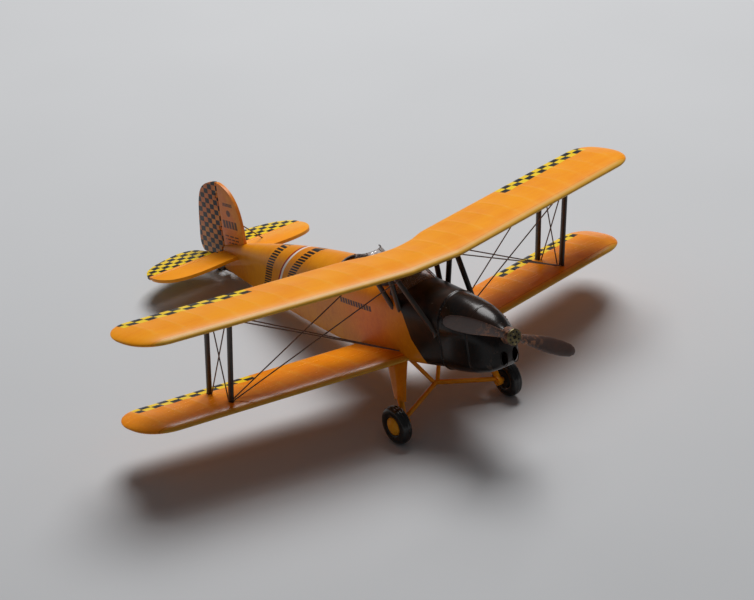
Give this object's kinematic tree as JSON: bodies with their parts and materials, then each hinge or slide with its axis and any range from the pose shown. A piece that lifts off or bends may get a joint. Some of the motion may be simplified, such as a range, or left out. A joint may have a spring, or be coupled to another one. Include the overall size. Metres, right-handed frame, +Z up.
{
  "type": "display biplane",
  "caption": "Small two-seat biplane display model with braced swept wings, a turning propeller, rolling wheels and hinged rudder and elevators.",
  "frame": {"origin": "middle of the footprint box, on the ground that the three wheels stand on", "axes": "+Z up, +Y towards the tail, +X towards the left wing tip, standing nose-up on its three wheels"},
  "size_m": [0.1032, 0.0924, 0.0298],
  "materials": {
    "black_nose": "gloss black enamel, dusty",
    "black_struts": "satin black enamel",
    "brass_plate": "dull brass",
    "clear_screen": "clear polystyrene with a painted rim",
    "cockpit_grey": "matt grey",
    "dark_bolts": "blackened steel",
    "hub_yellow": "gloss yellow enamel",
    "orange_fuselage": "brushed gloss orange enamel over moulded plastic",
    "orange_gear": "brushed gloss orange enamel over moulded plastic",
    "orange_tail": "brushed gloss orange enamel over moulded plastic",
    "orange_wings": "brushed gloss orange enamel over moulded plastic",
    "panel_black": "matt black",
    "propeller_brown": "dark brown enamel, worn to copper patches",
    "rigging_wire": "dark drawn wire",
    "seat_tan": "matt brown",
    "steel_shaft": "drawn steel wire",
    "tyre_black": "gloss black enamel over moulded plastic"
  },
  "bodies": {
    "airframe": {"cabane_diagonal_left": "black_struts", "cabane_diagonal_right": "black_struts", "cabane_front_left": "black_struts", "cabane_front_right": "black_struts", "cabane_rear_left": "black_struts", "cabane_rear_right": "black_struts", "cockpit_floor": "cockpit_grey", "cowling_top_panel": "black_nose", "engine_cowling": "black_nose", "fin": "orange_tail", "flying_wires_left": "rigging_wire", "flying_wires_right": "rigging_wire", "front_control_stick": "panel_black", "front_instrument_panel": "panel_black", "front_seat": "seat_tan", "front_windscreen": "clear_screen", "fuselage_left_half": "orange_fuselage", "fuselage_right_half": "orange_fuselage", "gear_leg_left": "orange_gear", "gear_leg_right": "orange_gear", "gear_vee_left": "orange_gear", "gear_vee_right": "orange_gear", "half_axle_left": "orange_gear", "half_axle_right": "orange_gear", "incidence_wires_left": "rigging_wire", "incidence_wires_right": "rigging_wire", "interplane_front_left": "black_struts", "interplane_front_right": "black_struts", "interplane_rear_left": "black_struts", "interplane_rear_right": "black_struts", "landing_wires_left": "rigging_wire", "landing_wires_right": "rigging_wire", "lower_wing_left": "orange_wings", "lower_wing_right": "orange_wings", "rear_control_stick": "panel_black", "rear_instrument_panel": "panel_black", "rear_seat": "seat_tan", "rear_windscreen": "clear_screen", "tail_brace_wire": "rigging_wire", "tailplane": "orange_tail", "tailwheel_fork": "black_struts", "upper_wing": "orange_wings"},
    "propeller_assembly": {"propeller": "propeller_brown", "propeller_hub_plate": "brass_plate", "propeller_bolts": "dark_bolts", "propeller_shaft": "steel_shaft", "shaft_collar": "steel_shaft"},
    "wheel_left": {"tyre_left": "tyre_black", "wheel_hub_left": "hub_yellow"},
    "wheel_right": {"tyre_right": "tyre_black", "wheel_hub_right": "hub_yellow"},
    "tail_wheel": {"tailwheel": "tyre_black"},
    "rudder_assembly": {"rudder": "orange_tail", "rudder_hinge_pins": "steel_shaft"},
    "elevators": {"elevator_left": "orange_tail", "elevator_right": "orange_tail", "elevator_joiner": "steel_shaft"}
  },
  "joints": [
    {"name": "propeller_spin", "type": "hinge", "parent": "airframe", "child": "propeller_assembly", "pos_m": [0, -0.04444, 0.02252], "axis": [0, -0.9782, 0.2079], "continuous": true},
    {"name": "left_wheel_spin", "type": "hinge", "parent": "airframe", "child": "wheel_left", "pos_m": [0.0117, -0.02859, 0.0033], "axis": [1, 0, 0], "continuous": true},
    {"name": "right_wheel_spin", "type": "hinge", "parent": "airframe", "child": "wheel_right", "pos_m": [-0.0117, -0.02859, 0.0033], "axis": [1, 0, 0], "continuous": true},
    {"name": "tail_wheel_spin", "type": "hinge", "parent": "airframe", "child": "tail_wheel", "pos_m": [0, 0.04091, 0.0008], "axis": [1, 0, 0], "continuous": true},
    {"name": "rudder_swing", "type": "hinge", "parent": "airframe", "child": "rudder_assembly", "pos_m": [0, 0.03835, 0.00513], "axis": [0, 0.1149, 0.9934], "range_deg": [-25, 25]},
    {"name": "elevator_tilt", "type": "hinge", "parent": "airframe", "child": "elevators", "pos_m": [0, 0.03825, 0.00515], "axis": [1, 0, 0], "range_deg": [-25, 25]}
  ]
}
